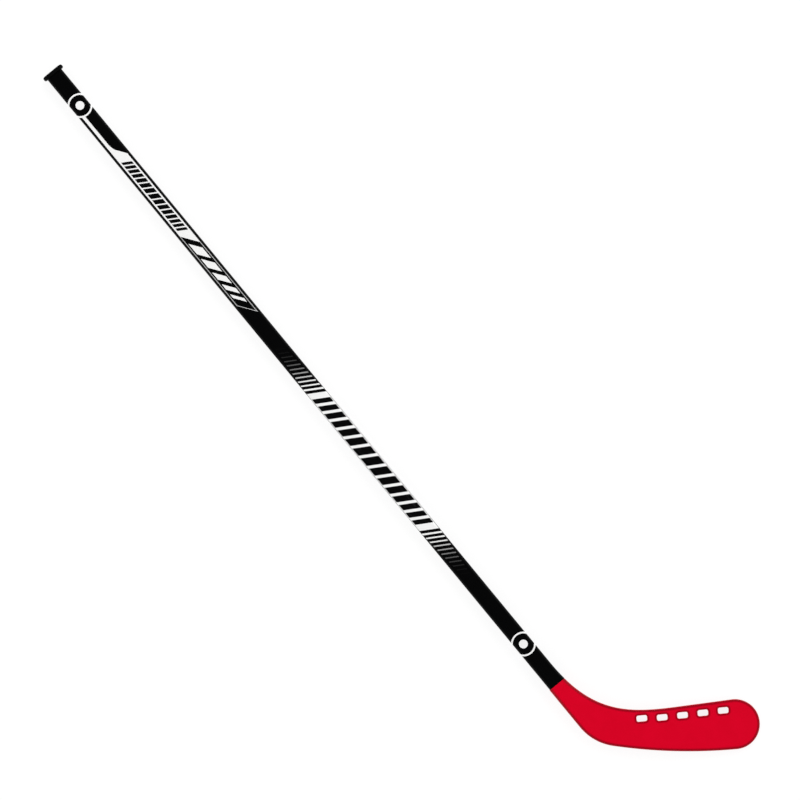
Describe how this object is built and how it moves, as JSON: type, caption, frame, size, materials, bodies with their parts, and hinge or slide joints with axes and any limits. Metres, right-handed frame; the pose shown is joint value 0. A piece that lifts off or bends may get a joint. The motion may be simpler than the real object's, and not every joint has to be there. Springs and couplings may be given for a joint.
{
  "type": "plastic street hockey stick",
  "caption": "Hollow rectangular shaft with a flanged butt cap and a moulded, bowed blade with a row of slots.",
  "frame": {"origin": "middle of the base of the stick as it lies flat: centre of its box along X and Y, its lowest point in Z", "axes": "+X along the shaft from the butt to the blade, +Y to the side that the blade bends to, +Z out of the wide face that looks up"},
  "size_m": [1.5136, 0.2342, 0.025],
  "materials": {
    "shaft_plastic": "satin black with white and grey print",
    "cap_rubber": "matt black",
    "blade_plastic": "satin moulded red",
    "screw_steel": "zinc plated"
  },
  "bodies": {
    "root": {"shaft": "shaft_plastic", "butt_cap": "cap_rubber", "blade": "blade_plastic", "blade_screw_1": "screw_steel", "blade_screw_2": "screw_steel"}
  },
  "joints": []
}
